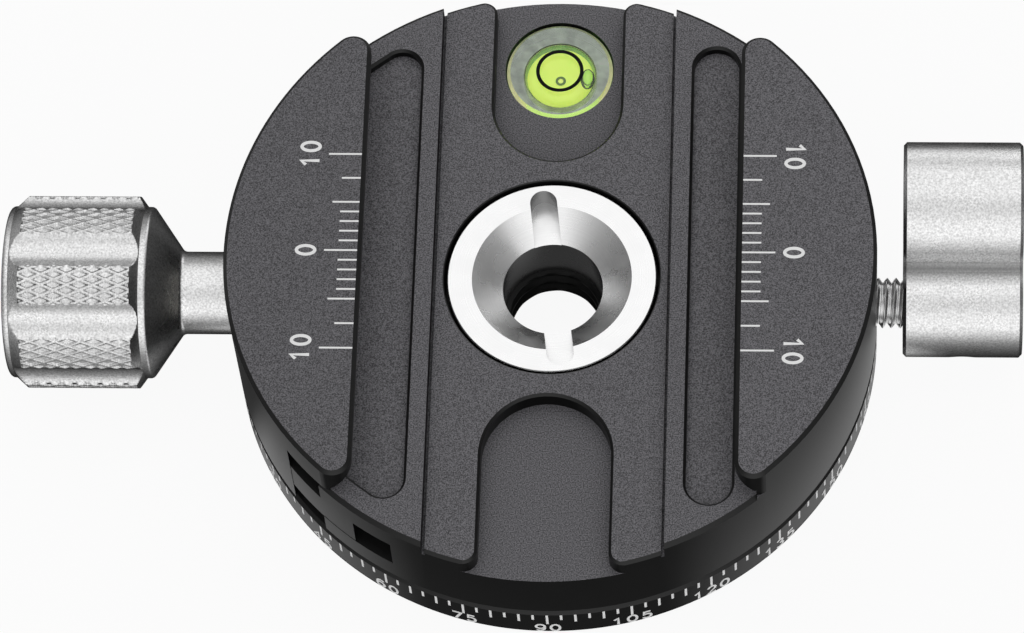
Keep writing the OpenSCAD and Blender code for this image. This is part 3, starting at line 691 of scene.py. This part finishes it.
def jaw_marks(name, side, body):
    """A 1 mm scale along a jaw's lip. Side is -1 for the left jaw and 1 for the right one."""
    top = JAW_TOP + PAINT_PROUD
    low = JAW_TOP + PAINT_PROUD - PAINT
    parts = []
    for y in sorted({way * d for d in JAW_TICKS for way in (-1, 1)}):
        long = JAW_TICK_LONG.get(abs(y), JAW_TICK_SHORT)
        x0, x1 = sorted((side * LIP_X, side * (LIP_X + long)))
        half = TICK_W / 2
        corners = [(x0, y - half), (x1, y - half), (x1, y + half), (x0, y + half)]
        points = [(px, py, z) for z in (low, top) for px, py in corners]
        parts.append((points, box_faces(0)))
    height, digit_w, middle = JAW_NUMBER
    for y in (-10, 0, 10):
        points, faces = flat_number(abs(y), height, digit_w, JAW_STROKE)
        parts.append((
            [(side * (middle + p[1]), y - side * p[0], low + p[2] * PAINT) for p in points],
            faces,
        ))
    points, faces = gather(parts)
    make_piece(name, points, faces, MARK_WHITE, body)


# The clamp knob with its flutes and knurled pads

NECK_END = -29.63
CONE_X = -34.45
GRIP_X = -37.3
KNOB_END = -50.6
NECK_R = 3.85
RIM_R = 8.0
RIM_W = 0.6
END_RIM_W = 0.6
BEVEL_W = 0.7
END_BEVEL_W = 1.05
PAD_R = 8.95
FLUTES = 8
FLUTE_R = 2.6
FLUTE_FLOOR = 8.1
KNURL_AROUND = 56
KNURL_LONG = 2.4
KNURL_DEPTH = 0.17
RIDGE_HALF = 0.08
RIDGE_SLOPE = 0.13
KNURL_STEP = 0.075
CONE_FILLET = 0.6
RIM_ROUND = 0.4
KNOB_BORE = 3.03
BORE_END = -46.48
DISH = (4.6, 0.6)


def flute_reach(angles):
    """How far the flutes let the grip reach at these angles, counted from +Z."""
    middle = FLUTE_FLOOR + FLUTE_R
    sector = 2 * math.pi / FLUTES
    off = (angles + sector / 2) % sector - sector / 2
    inside = FLUTE_R ** 2 - (middle * np.sin(off)) ** 2
    near = middle * np.cos(off) - np.sqrt(np.maximum(inside, 0))
    return np.where(inside > 0, near, PAD_R)


def knurl(along, angles):
    """Depth at this place on a pad, between its crossed ridges."""
    around = KNURL_AROUND * angles / (2 * math.pi)
    length = along / KNURL_LONG
    spacing = 1 / math.hypot(KNURL_AROUND / (2 * math.pi * PAD_R), 1 / KNURL_LONG)
    depth = np.full(len(angles), KNURL_DEPTH)
    for line in (around + length, around - length):
        off = np.abs(line - np.round(line)) * spacing
        depth = np.minimum(depth, KNURL_DEPTH * np.clip((off - RIDGE_HALF) / RIDGE_SLOPE, 0, 1))
    return depth


def grip_radius(plain, knurled=False):
    def radius(along, angles):
        reach = flute_reach(angles)
        pad = plain - (knurl(along, angles) if knurled else 0)
        return np.minimum(pad, reach)

    return radius


def grip_angles():
    """Angles that follow the edges of the flutes, closer together on the pads."""
    middle = FLUTE_FLOOR + FLUTE_R
    edge = math.acos((PAD_R ** 2 + middle ** 2 - FLUTE_R ** 2) / (2 * PAD_R * middle))
    sector = 2 * math.pi / FLUTES
    flute = np.linspace(-edge, edge, 24, endpoint=False)
    pad = np.linspace(edge, sector - edge, 44, endpoint=False)
    return np.concatenate([np.concatenate([flute, pad]) + i * sector for i in range(FLUTES)])


def knob_piece():
    rise = PAD_R - RIM_R
    inner = GRIP_X - RIM_W
    outer = KNOB_END + END_RIM_W
    dish_r, dish_depth = DISH
    shares = np.linspace(0.001, 1, 10)
    profile = [(BORE_END, 0), (BORE_END, KNOB_BORE), (NECK_END, KNOB_BORE), (NECK_END, NECK_R)]
    profile += fillet((CONE_X, NECK_R), (NECK_END, NECK_R), (GRIP_X, RIM_R), CONE_FILLET)
    profile += fillet((GRIP_X, RIM_R), (CONE_X, NECK_R), (inner, RIM_R), RIM_ROUND)
    profile += [(inner, RIM_R)]
    profile += [(inner - BEVEL_W * t, grip_radius(RIM_R + rise * t)) for t in shares]
    pads = spread(inner - BEVEL_W, outer + END_BEVEL_W, KNURL_STEP)
    profile += [(x, grip_radius(PAD_R, knurled=True)) for x in pads[1:-1]]
    profile += [(outer + END_BEVEL_W * t, grip_radius(RIM_R + rise * t)) for t in shares[::-1]]
    profile += [(outer, RIM_R)]
    profile += fillet((KNOB_END, RIM_R), (outer, RIM_R), (KNOB_END, dish_r), RIM_ROUND)
    profile += [(KNOB_END, dish_r), (KNOB_END + dish_depth, dish_r - dish_depth), (KNOB_END + dish_depth, 0)]
    points, faces = turned(profile, grip_angles(), on_x(SCREW_Z), closed=False)
    make_piece("knob_knurled", points, faces, SILVER, "knob", ["clamp_knob"], 25)


# The bubble level: vial, liquid, bubble and backing

VIAL_R = 5.0
VIAL_FLOOR = 8.0
VIAL_TOP = 11.9
VIAL_BEVEL = 0.32
CELL_R = 3.45
CELL_TOP = 11.1
CELL_ROUND = 0.8
CELL_LAP = 0.02
BACKING_R = 3.4
BACKING_TOP = 8.9
NUB = (0.22, 0.12)
TARGET_RING = (1.9, 2.25)
BUBBLE = (2.62, -0.42, 10.55)
BUBBLE_SIZE = (0.7, 1.1, 0.42)
NUB_SHADE_RING = (0.24, 0.5)
LEVEL_ANGLES = even_angles(120)


def vial_surface(middle):
    """Which look a face of the vial has: 0 clear, 1 frosted below, 2 on its bevel, with its painted glow, 3
    on its cell's wall, with its painted shade.
    """
    reach = math.hypot(middle.x, middle.y - LEVEL_Y)
    if middle.z < VIAL_FLOOR + PAINT:
        return 1
    if reach > VIAL_R - VIAL_BEVEL and middle.z > VIAL_TOP - VIAL_BEVEL:
        return 2
    if middle.z < CELL_TOP - CELL_ROUND and reach < CELL_R + PAINT:
        return 3
    return 0


def cell_shoulder():
    """The rounded top edge of the vial's cell, from its wall to its ceiling."""
    return fillet((CELL_TOP, CELL_R), (VIAL_FLOOR, CELL_R), (CELL_TOP, 0), CELL_ROUND, 9)


def vial_piece():
    profile = [
        (VIAL_FLOOR, CELL_R), (VIAL_FLOOR, VIAL_R), (VIAL_TOP - VIAL_BEVEL, VIAL_R),
        (VIAL_TOP, VIAL_R - VIAL_BEVEL), (VIAL_TOP, 0), (CELL_TOP, 0),
    ]
    points, faces = turned(profile + cell_shoulder()[::-1], LEVEL_ANGLES, on_z(0, LEVEL_Y))
    vial = make_piece("vial_clear", points, faces, ACRYLIC, "rotor", ["level_vial"])
    for look in (FROST, VIAL_EDGE, VIAL_WALL_SHADE):
        vial.data.materials.append(look)
    for face in vial.data.polygons:
        face.material_index = vial_surface(face.center / MM)


def painted_ring(sizes, top, angles):
    """Points and faces of a thin ring of these radii round the level's axis."""
    inner, outer = sizes
    profile = [(top - PAINT, inner), (top, inner), (top, outer), (top - PAINT, outer)]
    return turned(profile, angles, on_z(0, LEVEL_Y))


def target_ring_piece():
    points, faces = painted_ring(TARGET_RING, VIAL_TOP + PAINT_PROUD, LEVEL_ANGLES)
    make_piece("target_ring", points, faces, TARGET_BLACK, "rotor", ["level_mark_ring"])


def liquid_piece():
    bottom = BACKING_TOP + CELL_LAP
    profile = [(bottom, 0), (bottom, CELL_R + CELL_LAP)]
    profile += [(z + CELL_LAP, r + CELL_LAP) for z, r in cell_shoulder()]
    profile += [(CELL_TOP + CELL_LAP, 0)]
    points, faces = turned(profile, LEVEL_ANGLES, on_z(0, LEVEL_Y), closed=False)
    make_piece("liquid_clear", points, faces, LIQUID, "rotor", ["level_fluid"])


def backing_pieces():
    """The backing plug with a nub in its middle, and a thin green ring round that as painted shade."""
    points, faces = painted_ring(NUB_SHADE_RING, BACKING_TOP + CELL_LAP + PAINT, even_angles(40))
    make_piece("backing_nub_shade_ring", points, faces, NUB_SHADE_GREEN, "rotor")
    nub_r, nub_h = NUB
    profile = [(VIAL_FLOOR, 0), (VIAL_FLOOR, BACKING_R), (BACKING_TOP, BACKING_R), (BACKING_TOP, nub_r)]
    profile += [(BACKING_TOP + nub_h * math.sin(t), nub_r * math.cos(t)) for t in np.linspace(0.2, 1.57, 6)]
    profile += [(BACKING_TOP + nub_h, 0)]
    points, faces = turned(profile, LEVEL_ANGLES, on_z(0, LEVEL_Y), closed=False)
    make_piece("backing_nubbed", points, faces, BACKING, "rotor", ["level_backing"])


def bubble_piece():
    x0, y0, z0 = BUBBLE
    rx, ry, rz = BUBBLE_SIZE

    def stretched(along, x, y):
        return (x0 + rx * x, LEVEL_Y + y0 + ry * y, z0 + rz * along)

    profile = [(math.sin(t), math.cos(t)) for t in np.linspace(-math.pi / 2, math.pi / 2, 17)]
    points, faces = turned(profile, even_angles(32), stretched, closed=False)
    make_piece("bubble_air", points, faces, AIR, "rotor", ["level_bubble"])


# Threaded rods

STUD = (19.95, 41.4, 0.8, 1.92, 2.35)
CLAMP_SCREW = (-46.45, -13.3, 1.0, 2.45, 3.0)
ROD_CHAMFER = 0.4


def threaded_rod(name, sizes, z, body, node_name):
    """A threaded rod along X with chamfered ends, of these ends, pitch, root and crest."""
    low, high, pitch, root, crest = sizes
    ridge = thread(pitch, root, crest)
    tip = root - ROD_CHAMFER / 2
    profile = [(low, 0), (low, tip)]
    profile += [(x, ridge) for x in spread(low + ROD_CHAMFER, high - ROD_CHAMFER, pitch / 16)]
    profile += [(high, tip), (high, 0)]
    points, faces = turned(profile, even_angles(96), on_x(z), closed=False)
    make_piece(name, points, faces, ROD_STEEL, body, [node_name], 50)


# The return spring

SPRING_TURNS = 5
SPRING_WIRE = 0.6
TURN_STEPS = 48


def spring_piece():
    """A wire coil between the body and the moving jaw."""
    low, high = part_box("return_spring")
    half = SPRING_WIRE / 2
    start = low.x / MM + half
    end = high.x / MM - half
    reach = (high.y - low.y) / MM / 2 - half
    sides = even_angles(12)
    steps = SPRING_TURNS * TURN_STEPS
    points = []
    for i in range(steps + 1):
        angle = 2 * math.pi * i / TURN_STEPS
        for side in sides:
            out = reach + half * math.cos(side)
            x = start + (end - start) * i / steps + half * math.sin(side)
            points.append((x, out * math.cos(angle), SCREW_Z + out * math.sin(angle)))
    count = len(sides)
    faces = [
        (i * count + k, i * count + (k + 1) % count, (i + 1) * count + (k + 1) % count, (i + 1) * count + k)
        for i in range(steps) for k in range(count)
    ]
    faces += [tuple(range(count)), tuple(steps * count + k for k in range(count))]
    coil = make_piece("spring_coil", points, faces, WIRE, None, ["return_spring"])
    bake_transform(coil)


# The floor, the light and the camera

FLOOR_SIDE = 6.0
FLOOR_DROP = -0.00005
FLOOR_PAINT = 0.8
FLOOR_GLOW = 0.93

# How bright mirrors see the floor, as painted reflection, and the places in millimetres between which that
# fades
MIRROR_NEAR = 0.85
MIRROR_FRONT = 0.75
MIRROR_BACK = 0.1
MIRROR_LEFT = 0.4
NEAR_RING = (33, 38)
NEAR_RIGHT = (0, 10)
NEAR_FRONT = (-12, -8)
FRONT_FADE = (-60, -10)
LEFT_FADE = (-90, -60)


def mirror_glow(material):
    """How bright mirrors see the floor, as painted reflection: most beside the body's walls, then at the
    front and far to the left, and least elsewhere."""
    point = object_point(material)
    place = add(material, "ShaderNodeSeparateXYZ", {0: point})
    x, y = place.outputs["X"], place.outputs["Y"]
    reach = add(material, "ShaderNodeVectorMath", {0: point}, operation="LENGTH").outputs["Value"]

    def fade(value, places, first, last):
        return ranged(material, value, places[0] * MM, places[1] * MM, first, last)

    beside = math_node(material, "MAXIMUM", fade(x, NEAR_RIGHT, 0, 1), fade(y, NEAR_FRONT, 1, 0))
    near = math_node(material, "MULTIPLY", beside, fade(reach, NEAR_RING, MIRROR_NEAR, 0))
    front = fade(y, FRONT_FADE, MIRROR_FRONT, MIRROR_BACK)
    left = fade(x, LEFT_FADE, MIRROR_LEFT, 0)
    return math_node(material, "MAXIMUM", math_node(material, "MAXIMUM", front, left), near)


def floor():
    """A plain white floor that keeps its own white where the camera sees it, and shows mirrors a painted
    reflection by place.
    """
    half = FLOOR_SIDE / 2
    mesh = bpy.data.meshes.new("floor")
    corners = [(-half, -half), (half, -half), (half, half), (-half, half)]
    mesh.from_pydata([(x, y, FLOOR_DROP) for x, y in corners], [], [(0, 1, 2, 3)])
    material = bpy.data.materials.new("floor_white")
    material.use_nodes = True
    tree = material.node_tree
    tree.nodes.clear()
    paint = add(material, "ShaderNodeBsdfDiffuse", {"Color": grey(FLOOR_PAINT)})
    path = add(material, "ShaderNodeLightPath")
    seen = path.outputs["Is Camera Ray"]
    glossy, through = path.outputs["Is Glossy Ray"], path.outputs["Is Transmission Ray"]
    # Mirrors see the floor at a painted brightness by place, a painted reflection
    mirrored = math_node(material, "MAXIMUM", glossy, through)
    level = math_node(material, "MAXIMUM", seen, mirror_glow(material))
    glow = add(material, "ShaderNodeEmission", {"Color": grey(1.0), "Strength": level})
    share = math_node(material, "MAXIMUM", mirrored, math_node(material, "MULTIPLY", seen, FLOOR_GLOW))
    shown = add(material, "ShaderNodeMixShader", {0: share, 1: paint.outputs[0], 2: glow.outputs[0]})
    below = add(material, "ShaderNodeNewGeometry").outputs["Backfacing"]
    clear_side = add(material, "ShaderNodeBsdfTransparent")
    both = add(material, "ShaderNodeMixShader", {0: below, 1: shown.outputs[0], 2: clear_side.outputs[0]})
    output = add(material, "ShaderNodeOutputMaterial")
    join(material, both.outputs[0], output.inputs["Surface"])
    mesh.materials.append(material)
    plane = bpy.data.objects.new("floor", mesh)
    bpy.context.scene.collection.objects.link(plane)


# Brightness of the room from its front, over the top, to its back, as (share of the way, level)
SKY_ARC = [(0.0, 1.2), (0.27, 0.84), (0.5, 1.12), (0.84, 1.06), (1.0, 0.3)]
SKY_SIDES = 0.90
SIDE_POWER = 1.5


def sky():
    """A white room, dimmer low at the back and darker at the left and right."""
    world = bpy.data.worlds.new("room")
    bpy.context.scene.world = world
    world.use_nodes = True
    direction = add(world, "ShaderNodeTexCoord").outputs["Generated"]
    parts = add(world, "ShaderNodeSeparateXYZ", {0: direction})
    over = add(world, "ShaderNodeValToRGB", {"Fac": ranged(world, parts.outputs["Y"], -1, 1, 0, 1)})
    ramp = over.color_ramp
    ramp.interpolation = "EASE"
    for share, _ in SKY_ARC[1:-1]:
        ramp.elements.new(share)
    for stop, (share, level) in zip(ramp.elements, SKY_ARC):
        stop.position = share
        stop.color = grey(level)
    across = math_node(world, "POWER", math_node(world, "ABSOLUTE", parts.outputs["X"], 0), SIDE_POWER)
    sides = ranged(world, across, 0, 1, 1, 1 - SKY_SIDES)
    level = math_node(world, "MULTIPLY", over.outputs["Color"], sides)
    shade = add(world, "ShaderNodeCombineColor", {0: level, 1: level, 2: level})
    join(world, shade.outputs[0], world.node_tree.nodes["Background"].inputs["Color"])


# Lamps: (place, aim, width, height, power), in metres and watts
LAMPS = {
    "softbox": (Vector((0.6, -0.68, 0.45)), CAMERA_TARGET, 0.6, 0.6, 0.4),
    "lever_card": (Vector((0.035, 0.12, 0.035)), Vector((0.038, 0.01, 0.012)), 0.09, 0.06, 0.013),
}


def lamps():
    """A weak softbox at the front, and a small card that lights the back of the lever."""
    for name, (place, aim, width, height, power) in LAMPS.items():
        lamp = bpy.data.lights.new(name, "AREA")
        lamp.shape = "RECTANGLE"
        lamp.size = width
        lamp.size_y = height
        lamp.energy = power
        holder = bpy.data.objects.new(name, lamp)
        holder.location = place
        holder.rotation_euler = (aim - place).to_track_quat("-Z", "Y").to_euler()
        bpy.context.scene.collection.objects.link(holder)


def camera():
    a, e, r = CAMERA_AZIMUTH, CAMERA_ELEVATION, CAMERA_ROLL
    back = Vector((math.sin(a) * math.cos(e), -math.cos(a) * math.cos(e), math.sin(e)))
    right = Vector((math.cos(a), math.sin(a), 0))
    up = back.cross(right)
    across = math.cos(r) * right + math.sin(r) * up
    upward = -math.sin(r) * right + math.cos(r) * up
    aim = back + across * (TARGET_RIGHT_PX / FOCAL_PX) + upward * (TARGET_UP_PX / FOCAL_PX)
    aim.normalize()
    across = (across - aim * across.dot(aim)).normalized()
    upward = aim.cross(across)
    lens = bpy.data.cameras.new("camera")
    lens.sensor_width = SENSOR_W
    lens.lens = FOCAL_PX * SENSOR_W / IMAGE_W
    lens.clip_start = 0.01
    holder = bpy.data.objects.new("camera", lens)
    turn = Matrix((across, upward, aim)).transposed().to_4x4()
    holder.matrix_world = Matrix.Translation(CAMERA_TARGET + CAMERA_FAR * back) @ turn
    bpy.context.scene.collection.objects.link(holder)
    bpy.context.scene.camera = holder


base_piece()
band_marks()
jaw_marks("moving_jaw_scale", -1, "jaw")
jaw_marks("fixed_jaw_scale", 1, "rotor")
knob_piece()
spring_piece()
vial_piece()
target_ring_piece()
liquid_piece()
backing_pieces()
bubble_piece()
threaded_rod("stud_threaded", STUD, STUD_Z, "lever", "lock_stud")
threaded_rod("screw_threaded", CLAMP_SCREW, SCREW_Z, "knob", "clamp_screw")
floor()
sky()
lamps()
camera()

bpy.context.scene.view_settings.view_transform = "Standard"
